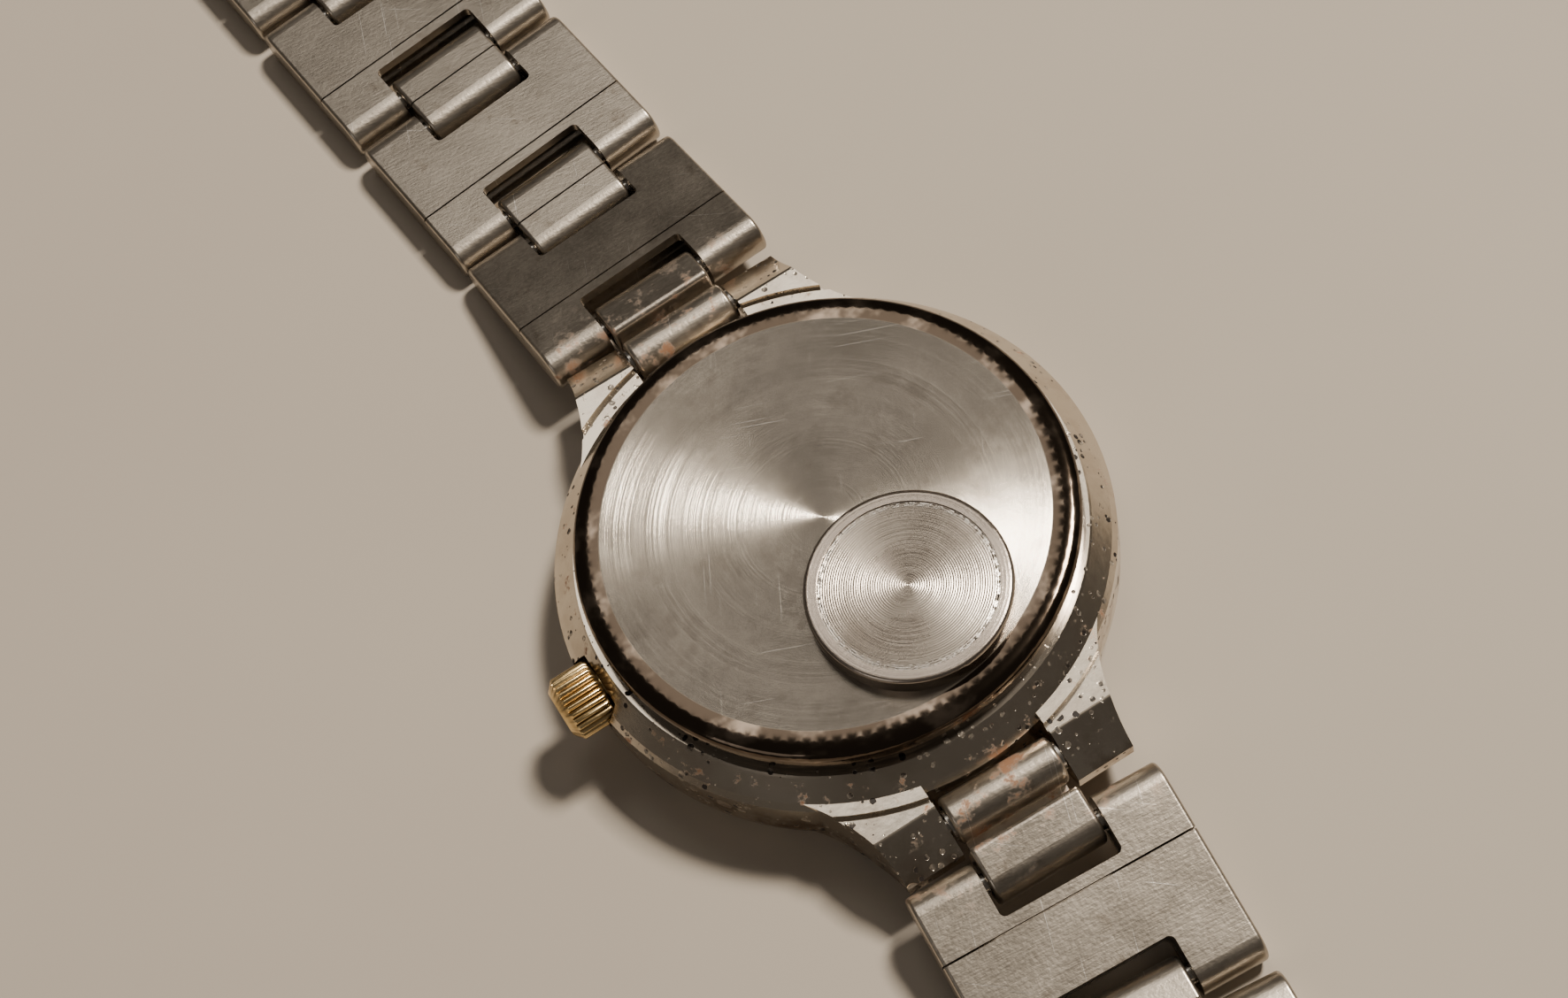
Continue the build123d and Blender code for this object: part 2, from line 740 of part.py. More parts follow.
hour_pipe_top_z = motion_low + wheel_thickness
with BuildPart() as hour_wheel:
    arbor(0, 0, hour_hand_z, hour_pipe_top_z, hour_pipe_radius)
    gear(0, 0, motion_low, hour_wheel_teeth, hour_module, motion_angle)
    arbor(0, 0, hour_hand_z, hour_pipe_top_z, minute_pipe_radius + fit, Mode.SUBTRACT)
save(hour_wheel, "hour_wheel")


def hand(name, level, length, root_width, tip_width, tail, hub_radius, bore_radius, degrees):
    """Make one tapered hand with its hub, pressed on its pipe or arbor."""
    plane = Plane.XY.offset(level).rotated((0, 0, degrees))
    with BuildPart() as piece:
        with BuildSketch(plane):
            with BuildLine():
                Polyline(
                    (-root_width / 2, -tail),
                    (root_width / 2, -tail),
                    (tip_width / 2, length),
                    (-tip_width / 2, length),
                    close=True,
                )
            make_face()
            Circle(hub_radius)
            Circle(bore_radius, mode=Mode.SUBTRACT)
        extrude(amount=hand_thickness)
    save(piece, name)


# width at the root and tip, tail, hub radius, bore radius and direction of each hand
hand("second_hand", second_hand_z, second_hand_length, 0.28, 0.12, 2.6, 0.45, second_arbor_radius, 140)
hand("minute_hand", minute_hand_z, minute_hand_length, 0.85, 0.45, 0.0, 0.8, minute_pipe_radius, -62)
hand("hour_hand", hour_hand_z, hour_hand_length, 1.0, 0.6, 0.0, 1.05, hour_pipe_radius, 54)

with BuildPart() as battery_contacts:
    strap_low_z = cell_base_z - contact_thickness
    strap_x, strap_y = polar(cell_offset + contact_shift, cell_angle)
    with BuildSketch(Plane.XY.offset(strap_low_z)):
        with Locations(Location((strap_x, strap_y, 0), (0, 0, cell_angle))):
            Rectangle(contact_length, contact_width)
    extrude(amount=contact_thickness)
    foot_x, foot_y = polar(cell_offset + contact_foot_shift, cell_angle)
    with BuildSketch(Plane.XY.offset(plate_top_z)):
        with Locations(Location((foot_x, foot_y, 0), (0, 0, cell_angle))):
            Rectangle(contact_foot, contact_width)
    extrude(amount=strap_low_z - plate_top_z)
    clip_x = cell_x - cell_radius - clip_gap
    with BuildSketch(Plane.XY.offset(plate_top_z)):
        with Locations((clip_x, cell_y)):
            Rectangle(clip_thickness, clip_width)
    extrude(amount=cell_base_z + clip_height - plate_top_z)
save(battery_contacts, "battery_contacts")


# ---------------------------------------------------------------- bracelet
def directions(side, slope, swing):
    """Unit vectors outwards along a bracelet piece and across it."""
    level = math.cos(math.radians(slope))
    heading_x = -math.sin(math.radians(swing))
    heading_y = side * math.cos(math.radians(swing))
    outwards = Vector(level * heading_x, level * heading_y, -math.sin(math.radians(slope)))
    return outwards, Vector(heading_y, -heading_x, 0)


def chain(side):
    """Planes across each piece, from the end link outwards, then one at the last pin.

    A plane's origin is the piece's inner pin, its X runs outwards and its Y is up.
    """
    lengths = [end_link_pitch, link_pitch] + [center_pitch, link_pitch] * (links_per_side - 1)
    first_pin_z = lug_bar_z - end_link_pitch * math.sin(math.radians(end_link_slope))
    first_slope = math.degrees(math.asin((first_pin_z - link_radius) / link_pitch))
    slopes = [end_link_slope, first_slope] + [0.0] * (len(lengths) - 2)
    planes = []
    pin = Vector(0, side * lug_bar_y, lug_bar_z)
    for length, slope, swing in zip(lengths, slopes, sideways):
        outwards, across = directions(side, slope, swing)
        planes.append(Plane(origin=pin, x_dir=outwards, z_dir=across))
        pin = pin + outwards * length
    planes.append(Plane(origin=pin, x_dir=outwards, z_dir=across))
    return planes


def seen_from_back(plane):
    """Plane through the same pin, facing up out of the back of the piece."""
    return Plane(origin=plane.origin, x_dir=plane.x_dir, z_dir=plane.y_dir)


def folded_tube(length, radius):
    """Sketch a flat oval about two pin centres in the current sketch."""
    Circle(radius)
    with Locations((length / 2, 0)):
        Rectangle(length, 2 * radius)
    with Locations((length, 0)):
        Circle(radius)


def center_link(name, plane):
    """Folded sheet round two pins, with its seam at the middle of the back."""
    with BuildPart() as piece:
        with BuildSketch(plane):
            folded_tube(center_pitch, link_radius)
        extrude(amount=center_width / 2, both=True)
        fillet(piece.faces().filter_by(plane).edges(), radius=edge_round)
        with BuildSketch(plane):
            folded_tube(center_pitch, fold_radius)
            with Locations((center_pitch / 2, link_radius)):
                Rectangle(seam_width, 2 * (link_radius - fold_radius / 2))
        extrude(amount=center_width / 2, both=True, mode=Mode.SUBTRACT)
    save(piece, name)


def end_link(name, plane):
    """Barrel on the spring bar and a folded half on the first pin, joined by a web."""
    half_start = end_barrel_radius + end_link_notch
    half_length = end_link_pitch - half_start
    with BuildPart() as barrel:
        with BuildSketch(plane):
            Circle(end_barrel_radius)
        extrude(amount=center_width / 2, both=True)
        fillet(barrel.faces().filter_by(plane).edges(), radius=edge_round)
    with BuildPart() as folded_half:
        with BuildSketch(plane) as half_profile:
            with Locations((half_start + half_length / 2, 0)):
                Rectangle(half_length, 2 * link_radius)
            with Locations((end_link_pitch, 0)):
                Circle(link_radius)
            fillet(half_profile.vertices().group_by(Axis.X)[0], radius=end_link_round)
        extrude(amount=center_width / 2, both=True)
        fillet(folded_half.faces().filter_by(plane).edges(), radius=edge_round)
    with BuildPart() as piece:
        add(barrel.part)
        add(folded_half.part)
        with BuildSketch(plane):
            with Locations((end_link_pitch / 2, -(link_radius + fold_radius) / 2)):
                Rectangle(end_link_pitch, sheet)
        extrude(amount=center_width / 2 - edge_round, both=True)
        with BuildSketch(plane):
            Circle(spring_bar_radius + pin_play)
            with Locations((end_link_pitch, 0)):
                Circle(fold_radius)
            with Locations((half_start + (sheet + half_length) / 2, 0)):
                Rectangle(half_length - sheet, 2 * fold_radius)
        extrude(amount=center_width / 2, both=True, mode=Mode.SUBTRACT)
    save(piece, name)


def outer_link(name, plane):
    """H-shaped folded link with closed sides, two slots and a seam across the back."""
    reach = 2 * link_radius + slot_depth
    with BuildPart() as piece:
        with BuildSketch(plane):
            folded_tube(link_pitch, link_radius)
        extrude(amount=side_x, both=True)
        fillet(piece.faces().filter_by(plane).edges(), radius=edge_round)
        with BuildSketch(plane):
            folded_tube(link_pitch, fold_radius)
        extrude(amount=side_x - sheet, both=True, mode=Mode.SUBTRACT)
        with BuildSketch(seen_from_back(plane)):
            with Locations(
                (slot_depth - reach / 2, 0),
                (link_pitch - slot_depth + reach / 2, 0),
            ):
                RectangleRounded(reach, lug_gap, slot_corner)
        extrude(amount=2 * link_radius, both=True, mode=Mode.SUBTRACT)
        with BuildSketch(seen_from_back(plane).offset(fold_radius / 2)):
            with Locations((link_seam_offset, 0)):
                Rectangle(seam_width, bracelet_width)
        extrude(amount=link_radius, mode=Mode.SUBTRACT)
    save(piece, name)


def link_pins(name, plane):
    """Two pins held in an outer link's arms, thinner where the next pieces turn."""
    arm_inside = side_x - sheet
    with BuildPart() as piece:
        with BuildSketch(plane):
            with Locations((0, 0), (link_pitch, 0)):
                Circle(pin_radius)
        extrude(amount=arm_inside, both=True)
        for start in (lug_gap / 2, -arm_inside):
            with BuildSketch(plane.offset(start)):
                with Locations((0, 0), (link_pitch, 0)):
                    Circle(fold_radius)
            extrude(amount=arm_inside - lug_gap / 2)
    save(piece, name)


clasp_plane = chain(1)[-1]
ladder_plane = chain(-1)[-1]
for side_name, side in (("upper", 1), ("lower", -1)):
    planes = chain(side)
    end_link(f"{side_name}_end_link", planes[0])
    for number in range(1, links_per_side + 1):
        outer_link(f"{side_name}_link_{number}", planes[2 * number - 1])
        link_pins(f"{side_name}_pins_{number}", planes[2 * number - 1])
        if number < links_per_side:
            center_link(f"{side_name}_center_{number}", planes[2 * number])

# ---------------------------------------------------------------- clasp
with BuildPart() as clasp_ladder:
    with BuildSketch(ladder_plane):
        Circle(link_radius)
        with Locations((ladder_length / 2, -link_radius + ladder_thickness / 2)):
            Rectangle(ladder_length, ladder_thickness)
        Circle(fold_radius, mode=Mode.SUBTRACT)
    extrude(amount=center_width / 2, both=True)
    with BuildSketch(seen_from_back(ladder_plane)):
        with Locations((ladder_length / 2 + ladder_slots_shift, 0)):
            with GridLocations(ladder_slot_pitch, 1, ladder_slots, 1):
                Rectangle(ladder_slot_length, ladder_slot_width)
    extrude(amount=-2 * link_radius, mode=Mode.SUBTRACT)
save(clasp_ladder, "clasp_ladder")

clasp_half = clasp_channel_width / 2 + clasp_wall
clasp_start_x = link_radius + clasp_neck
clasp_middle_x = clasp_start_x + clasp_length / 2
clasp_pin_x = clasp_start_x + clasp_length - clasp_pin_inset
clasp_end_x = clasp_pin_x + clasp_pin_wall
base_length = clasp_end_x - clasp_start_x
base_middle_x = clasp_start_x + base_length / 2
base_depth = link_radius + clasp_wall_drop
with BuildPart() as clasp_base:
    with BuildSketch(clasp_plane):
        Circle(link_radius)
        with Locations((clasp_start_x / 2, link_radius - clasp_wall / 2)):
            Rectangle(clasp_start_x + 2 * clasp_wall, clasp_wall)
        Circle(fold_radius, mode=Mode.SUBTRACT)
    extrude(amount=center_width / 2, both=True)
    with BuildSketch(clasp_plane):
        with Locations((base_middle_x, link_radius - base_depth / 2)):
            Rectangle(base_length, base_depth)
    extrude(amount=clasp_half, both=True)
    with BuildSketch(clasp_plane):
        with Locations((base_middle_x, -clasp_wall)):
            Rectangle(base_length, 2 * link_radius)
    extrude(amount=clasp_channel_width / 2, both=True, mode=Mode.SUBTRACT)
    # catch that drops into a slot of the ladder
    with BuildSketch(clasp_plane):
        with Locations((clasp_start_x + catch_offset, link_radius - clasp_wall - catch_height / 2)):
            Rectangle(catch_length, catch_height)
    extrude(amount=catch_width / 2, both=True)
    with BuildSketch(clasp_plane):
        with Locations((clasp_pin_x, 0)):
            Circle(clasp_pin_radius)
    extrude(amount=clasp_half, both=True, mode=Mode.SUBTRACT)
save(clasp_base, "clasp_base")

skirt_in = clasp_half + clasp_side_gap
skirt_out = skirt_in + clasp_wall
plate_end_x = clasp_pin_x - clasp_pin_wall
with BuildPart() as clasp_flap:
    with BuildSketch(clasp_plane):
        with Locations((clasp_middle_x, -link_radius + flap_height / 2)):
            Rectangle(clasp_length, flap_height)
        Circle(flap_relief_radius, mode=Mode.SUBTRACT)
    extrude(amount=skirt_out, both=True)
    flap_long_edges = clasp_flap.edges().filter_by(Axis(clasp_plane.origin, clasp_plane.x_dir))
    fillet(flap_long_edges.group_by(Axis.Z)[0], radius=flap_round)
    with BuildSketch(clasp_plane):
        with Locations((clasp_middle_x, -link_radius + flap_wall + flap_height / 2)):
            Rectangle(clasp_length, flap_height)
        with Locations((plate_end_x + clasp_pin_inset, 0)):
            Rectangle(2 * clasp_pin_inset, 2 * flap_height)
    extrude(amount=skirt_in, both=True, mode=Mode.SUBTRACT)
    with BuildSketch(clasp_plane):
        with Locations((clasp_pin_x, 0)):
            Circle(clasp_pin_radius + fit)
    extrude(amount=skirt_out, both=True, mode=Mode.SUBTRACT)
save(clasp_flap, "clasp_flap")

with BuildPart() as clasp_pin:
    with BuildSketch(clasp_plane):
        with Locations((clasp_pin_x, 0)):
            Circle(clasp_pin_radius)
    extrude(amount=skirt_out, both=True)
save(clasp_pin, "clasp_pin")
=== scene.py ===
"""Looks of the small quartz wristwatch, face down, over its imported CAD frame. Metres."""
import json
import math
import bmesh
import bpy
from mathutils import Matrix, Vector


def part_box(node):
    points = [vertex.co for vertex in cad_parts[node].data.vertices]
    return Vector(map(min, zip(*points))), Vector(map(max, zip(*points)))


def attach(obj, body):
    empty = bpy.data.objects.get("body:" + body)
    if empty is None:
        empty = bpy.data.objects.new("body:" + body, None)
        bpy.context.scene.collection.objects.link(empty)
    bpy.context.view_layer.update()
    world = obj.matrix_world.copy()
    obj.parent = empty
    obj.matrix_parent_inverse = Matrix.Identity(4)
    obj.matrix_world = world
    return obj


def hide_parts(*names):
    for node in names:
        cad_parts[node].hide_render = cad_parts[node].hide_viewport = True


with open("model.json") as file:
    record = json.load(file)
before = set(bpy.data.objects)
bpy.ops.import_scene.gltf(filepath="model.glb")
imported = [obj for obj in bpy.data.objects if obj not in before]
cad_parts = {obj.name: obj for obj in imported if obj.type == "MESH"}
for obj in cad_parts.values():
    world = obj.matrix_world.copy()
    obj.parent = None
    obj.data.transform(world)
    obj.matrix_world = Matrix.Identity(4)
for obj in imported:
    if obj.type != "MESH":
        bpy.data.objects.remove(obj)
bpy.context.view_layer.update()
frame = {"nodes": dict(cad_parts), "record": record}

MM = 0.001

# ---------------------------------------------------------------- places from the frame
hatch_low, hatch_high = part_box("battery_hatch")
HATCH_X = (hatch_low.x + hatch_high.x) / 2
HATCH_Y = (hatch_low.y + hatch_high.y) / 2

crown_low, crown_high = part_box("crown")
CROWN_Z = (crown_low.z + crown_high.z) / 2
CROWN_CREST = (crown_high.z - crown_low.z) / 2
CROWN_VALLEY = CROWN_CREST - 0.26 * MM

dial_low, dial_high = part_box("dial")
DIAL_RADIUS = (dial_high.x - dial_low.x) / 2


# ---------------------------------------------------------------- camera
def place_camera(azimuth, elevation, distance, roll, lens, target):
    """Camera at that bearing and height, rolled about its own axis."""
    az, el, turn = (math.radians(angle) for angle in (azimuth, elevation, roll))
    back = Vector((math.sin(az) * math.cos(el), -math.cos(az) * math.cos(el), math.sin(el)))
    right = (-back).cross(Vector((0, 0, 1))).normalized()
    up = back.cross(right)
    across = right * math.cos(turn) + up * math.sin(turn)
    over = up * math.cos(turn) - right * math.sin(turn)
    data = bpy.data.cameras.new("camera")
    data.lens = lens
    data.clip_start = 0.005
    data.clip_end = 20
    camera = bpy.data.objects.new("camera", data)
    bpy.context.scene.collection.objects.link(camera)
    pose = Matrix((across, over, back)).transposed().to_4x4()
    pose.translation = Vector(target) + back * distance
    camera.matrix_world = pose
    bpy.context.scene.camera = camera


place_camera(-13.4, 61.77, 0.12758, -19.93, 62.89, (-0.81 * MM, 2.62 * MM, 5.6 * MM))


# ---------------------------------------------------------------- light
def soft_light(name, direction, distance, size, power, colour):
    """Square soft light that faces the watch."""
    data = bpy.data.lights.new(name, "AREA")
    data.size = size
    data.energy = power
    data.color = colour
    light = bpy.data.objects.new(name, data)
    light.location = Vector(direction).normalized() * distance
    light.rotation_mode = "QUATERNION"
    light.rotation_quaternion = Vector(direction).to_track_quat("Z", "Y")
    bpy.context.scene.collection.objects.link(light)


soft_light("key", (0.472, 0.114, 0.873), 0.62, 0.11, 4.7, (1.0, 0.90, 0.78))
soft_light("ceiling", (0.107, 0.461, 0.881), 0.7, 0.2, 0.25, (1.0, 0.93, 0.84))
soft_light("fill", (-0.75, -0.35, 0.6), 0.7, 0.3, 0.26, (1.0, 0.94, 0.88))


# ---------------------------------------------------------------- shader maths
class Wire:
    """An output socket; arithmetic on it adds Math nodes."""

    def __init__(self, finish, socket):
        self.finish = finish
        self.socket = socket

    def maths(self, operation, *values):
        return self.finish.maths(operation, self, *values)

    def __add__(self, other):
        return self.maths("ADD", other)

    def __mul__(self, other):
        return self.maths("MULTIPLY", other)

    def __sub__(self, other):
        return self.maths("SUBTRACT", other)

    def __pow__(self, other):
        return self.maths("POWER", other)

    def __rsub__(self, other):
        return self.finish.maths("SUBTRACT", other, self)

    __radd__ = __add__
    __rmul__ = __mul__

    def between(self, low, high):
        """0 below low, 1 above high, smooth in between."""
        settings = {"interpolation_type": "SMOOTHSTEP"}
        return self.finish.add("ShaderNodeMapRange", settings, {0: self, 1: low, 2: high})


class Finish:
    """A material under construction."""

    def __init__(self, name, **constants):
        self.material = bpy.data.materials.new(name)
        self.material.use_nodes = True
        self.tree = self.material.node_tree
        self.shader = self.tree.nodes["Principled BSDF"]
        for socket, value in constants.items():
            self.shader.inputs[socket.replace("_", " ")].default_value = value
        self.place = self.add("ShaderNodeTexCoord", {}, {}, "Object")

    def add(self, kind, settings, inputs, output=0):
        """Add a node: its settings first, then what its sockets hold or link to."""
        node = self.tree.nodes.new(kind)
        for name, value in settings.items():
            setattr(node, name, value)
        for name, value in inputs.items():
            if isinstance(value, Wire):
                self.tree.links.new(value.socket, node.inputs[name])
            else:
                node.inputs[name].default_value = value
        return Wire(self, node.outputs[output])

    def maths(self, operation, *values):
        return self.add("ShaderNodeMath", {"operation": operation}, dict(enumerate(values)))

    def noise(self, scale, detail=2.0, roughness=0.5, place=None):
        inputs = {"Vector": place or self.place, "Scale": scale, "Detail": detail, "Roughness": roughness}
        return self.add("ShaderNodeTexNoise", {}, inputs)

    def vector(self, operation, *values, output=0):
        return self.add("ShaderNodeVectorMath", {"operation": operation}, dict(enumerate(values)), output)

    def turned(self, angle, x, y, z):
        """Object place turned about Z by an angle in degrees, then scaled along each axis."""
        turn = {"Vector": self.place, "Angle": math.radians(angle)}
        place = self.add("ShaderNodeVectorRotate", {"rotation_type": "Z_AXIS"}, turn)
        return self.vector("MULTIPLY", place, (x, y, z))

    def axes(self):
        """The object place as three separate numbers."""
        split = self.add("ShaderNodeSeparateXYZ", {}, {0: self.place})
        return [Wire(self, split.socket.node.outputs[axis]) for axis in range(3)]

    def scratches(self, angle, seed, amount):
        """Mask of fine straight scratches that all run one way."""
        lines = self.noise(1.0, 1.0, 0.4, place=self.turned(angle, 170, 14000, seed))
        return lines.between(0.76 - amount, 0.80 - amount)

    def pits(self, scale, biggest):
        """Mask of round pits of mixed sizes; biggest is a share of their spacing."""
        inputs = {"Vector": self.place, "Scale": scale}
        cell = self.add("ShaderNodeTexVoronoi", {}, inputs)
        chance = Wire(self, cell.socket.node.outputs["Color"])
        radius = self.vector("DOT_PRODUCT", chance, (1, 0, 0), output=1) ** 3 * biggest
        return 1 - (cell - radius).between(0.0, 0.05)

    def tinted(self, share, low, high):
        """Colour between two greys or colours, each given as three numbers."""
        return self.mix(share, (*low, 1), (*high, 1))

    def mix(self, factor, low, high):
        settings = {"data_type": "RGBA"}
        return self.add("ShaderNodeMix", settings, {0: factor, 6: low, 7: high}, 2)

    def bump(self, height, distance, strength=1.0, normal=None):
        inputs = {"Height": height, "Distance": distance, "Strength": strength}
        if normal:
            inputs["Normal"] = normal
        return self.add("ShaderNodeBump", {}, inputs)

    def feed(self, **sockets):
        for name, wire in sockets.items():
            self.tree.links.new(wire.socket, self.shader.inputs[name.replace("_", " ")])
        return self.material


class Lathe:
    """Radius and lean of a surface turned about a vertical axis through a given centre."""

    def __init__(self, finish, x, y):
        self.finish = finish
        offset = finish.vector("SUBTRACT", finish.place, (x, y, 0))
        flat = finish.vector("MULTIPLY", offset, (1, 1, 0))
        self.radius = finish.vector("LENGTH", flat, output=1)
        self.outward = finish.vector("NORMALIZE", flat)
        split = finish.add("ShaderNodeSeparateXYZ", {}, {0: flat})
        self.angle = finish.maths("ARCTAN2", Wire(finish, split.socket.node.outputs[1]), split)

    def rings(self, fineness):
        """Noise that changes with the radius alone."""
        inputs = {"W": self.radius * fineness, "Scale": 1.0, "Detail": 2.0}
        return self.finish.add("ShaderNodeTexNoise", {"noise_dimensions": "1D"}, inputs)

    def leaning(self, amount, normal=None):
        """Normal that leans outwards by an amount."""
        finish = self.finish
        scaled = {0: self.outward, "Scale": amount}
        lean = finish.add("ShaderNodeVectorMath", {"operation": "SCALE"}, scaled)
        turn = {"vector_type": "VECTOR", "convert_from": "OBJECT", "convert_to": "WORLD"}
        lean = finish.add("ShaderNodeVectorTransform", turn, {0: lean})
        normal = normal or finish.add("ShaderNodeNewGeometry", {}, {}, "Normal")
        return finish.vector("NORMALIZE", finish.vector("ADD", normal, lean))


# ---------------------------------------------------------------- steel of the back and the hatch
FINE_RINGS = 64000      # turning marks per metre of radius, too fine to see one by one
COARSE_RINGS = 9000
BACK_FLAT = 10.45 * MM
BACK_PITCH = 0.031 * MM
BACK_LEAN = 0.25
FLAT_EDGE = 0.08 * MM
HATCH_DISC = 4.13 * MM
HATCH_PITCH = 0.108 * MM
HATCH_LEAN = 0.24
DISC_EDGE = 0.02 * MM
TORN_EDGE = (0.34 * MM, 0.1 * MM)


def back_steel():
    """Circular brushed flat with fine scratches, and a polished shoulder coloured with a painted dark
    reflection, streaked brown.
    """
    finish = Finish("turned steel back", Metallic=1.0)
    lathe = Lathe(finish, 0, 0)
    flat = 1 - lathe.radius.between(BACK_FLAT, BACK_FLAT + FLAT_EDGE)
    grain = finish.maths("SINE", lathe.radius * (math.tau / BACK_PITCH)) * BACK_LEAN
    grain = grain + (lathe.rings(FINE_RINGS) - 0.5) * BACK_LEAN
    cloud = finish.noise(240, 4, 0.6)
    streaks = finish.noise(1, 3, 0.6, place=finish.turned(0, 500, 500, 2500))
    scratch = finish.maths("MAXIMUM", finish.scratches(24, 0, 0.03), finish.scratches(-63, 5, 0.02))
    stain = finish.noise(520, 5, 0.7).between(0.50, 0.70)
    tone = cloud * 0.9 + lathe.rings(COARSE_RINGS) * 0.1
    brushed = finish.tinted(tone, (0.26, 0.23, 0.19), (0.54, 0.49, 0.42))
    brushed = finish.mix(stain * 0.35, brushed, (0.24, 0.20, 0.16, 1))
    # painted reflection: the polished shoulder is coloured dark brown, in lighter brown streaks, for the
    # dark surroundings it reflects
    shoulder = finish.tinted(streaks.between(0.48, 0.75), (0.09, 0.068, 0.05), (0.34, 0.27, 0.21))
    colour = finish.mix(flat, shoulder, brushed)
    return finish.feed(
        Base_Color=finish.mix(scratch * flat * 0.45, colour, (0.88, 0.83, 0.76, 1)),
        Roughness=flat * (cloud * 0.10 + 0.04) + cloud * 0.06 + 0.07,
        Normal=lathe.leaning(grain * flat),
    )


def hatch_steel():
    """Battery hatch: fine plain ring round a disc turned in a spiral, with a bright torn edge."""
    finish = Finish("spiral turned steel", Metallic=1.0)
    lathe = Lathe(finish, HATCH_X, HATCH_Y)
    disc = 1 - lathe.radius.between(HATCH_DISC - DISC_EDGE, HATCH_DISC + DISC_EDGE)
    edge = lathe.radius.between(*(HATCH_DISC - inset for inset in TORN_EDGE)) * disc
    spiral = finish.maths("SINE", lathe.radius * (math.tau / HATCH_PITCH) + lathe.angle)
    flecks = finish.noise(5200, 3, 0.7)
    cloud = finish.noise(420, 4, 0.6)
    lean = spiral * disc * HATCH_LEAN + (lathe.rings(FINE_RINGS) - 0.5) * 0.7
    lean = lean + (flecks - 0.5) * edge * 2.2
    # painted shade and highlight: the spiral wave lightens and darkens the colour across each turned
    # groove; the cloud is random wear tone
    worn = finish.tinted(cloud * 0.7 + spiral * 0.18, (0.33, 0.28, 0.23), (0.66, 0.60, 0.53))
    ring = finish.tinted(cloud, (0.36, 0.30, 0.25), (0.54, 0.48, 0.42))
    colour = finish.mix(disc, ring, worn)
    return finish.feed(
        Base_Color=finish.mix(edge * flecks.between(0.42, 0.62), colour, (0.90, 0.85, 0.78, 1)),
        Roughness=cloud * 0.14 + disc * 0.04 + 0.16,
        Normal=lathe.leaning(lean, finish.bump(flecks, 0.00003, 0.25)),
    )


# ---------------------------------------------------------------- plated case
LOWER_WALL = (2.2 * MM, 4.4 * MM)       # the plating is most pitted and darkest below these heights
LEDGE_RADII = (12.15 * MM, 12.4 * MM)   # the rusty ledge round the back starts between these
LEDGE_HEIGHTS = (3.9 * MM, 4.2 * MM)


def worn_plating():
    """Cream plating over brass, pitted black, with rust spots on the ledge round the back."""
    finish = Finish("worn plated brass", Metallic=1.0)
    lathe = Lathe(finish, 0, 0)
    height = finish.axes()[2]
    cloud = finish.noise(210, 4, 0.6)
    patches = finish.noise(420, 5, 0.65)
    low = 1 - height.between(*LOWER_WALL)
    small = finish.pits(2900, 0.50) * patches.between(0.44, 0.56)
    large = finish.pits(1400, 0.52) * low * patches.between(0.40, 0.54)
    pits = finish.maths("MAXIMUM", small, large)
    ledge = lathe.radius.between(*LEDGE_RADII) * height.between(*LEDGE_HEIGHTS)
    rust = finish.noise(900, 4, 0.7).between(0.60, 0.72) * ledge
    plating = finish.tinted(cloud, (0.58, 0.50, 0.40), (0.90, 0.83, 0.72))
    # darker in patches everywhere, and most of all on the low wall towards the table
    lower_darkening = patches.between(0.40, 0.62) * (low * 0.7 + 0.25)
    darkened_tint = finish.tinted(lower_darkening, (1, 1, 1), (0.34, 0.24, 0.16))
    colour = finish.add("ShaderNodeMix", {"data_type": "RGBA", "blend_type": "MULTIPLY"},
                        {0: 1.0, 6: plating, 7: darkened_tint}, 2)
    colour = finish.mix(rust * 0.85, colour, (0.36, 0.13, 0.035, 1))
    return finish.feed(
        Base_Color=finish.mix(pits, colour, (0.018, 0.013, 0.010, 1)),
        Metallic=1 - finish.maths("MAXIMUM", rust, pits) * 0.8,
        Roughness=cloud * 0.12 + 0.12 + rust * 0.4 + pits * 0.4,
        Normal=finish.bump(finish.noise(1500, 3) * 0.25 - pits, 0.00004, 0.55),
    )


# ---------------------------------------------------------------- bracelet steel
LUG_REACH = 15.2 * MM
RUST_REACH = 4.5 * MM


def link_steel():
    """Satin folded steel: speckled, finely scratched, rusty where it meets the lugs."""
    finish = Finish("satin link steel", Metallic=1.0)
    reach = finish.maths("ABSOLUTE", finish.axes()[1])
    cloud = finish.noise(320, 4, 0.6)
    speckle = finish.noise(5200, 2, 0.6)
    brushed = finish.noise(1, 2, 0.6, place=finish.turned(6, 900, 9000, 2600))
    scratch = finish.maths("MAXIMUM", finish.scratches(38, 1, 0.02), finish.scratches(-71, 8, 0.03))
    near = 1 - reach.between(LUG_REACH, LUG_REACH + RUST_REACH)
    rust = finish.noise(700, 5, 0.7).between(0.53, 0.66) * near
    grime = finish.noise(620, 4, 0.65).between(0.58, 0.74)
    steel = finish.tinted(cloud * 0.6 + brushed * 0.5, (0.30, 0.262, 0.215), (0.60, 0.545, 0.47))
    steel = finish.mix(grime * 0.5, steel, (0.20, 0.155, 0.115, 1))
    steel = finish.mix(scratch * 0.8, steel, (0.92, 0.88, 0.82, 1))
    return finish.feed(
        Base_Color=finish.mix(rust * 0.8, steel, (0.30, 0.12, 0.04, 1)),
        Metallic=1 - rust * 0.75,
        Roughness=cloud * 0.14 + speckle * 0.12 + 0.20 + rust * 0.35,
        Normal=finish.bump(speckle * 0.7 + brushed * 0.5 + cloud * 0.6, 0.00002, 0.55),
    )


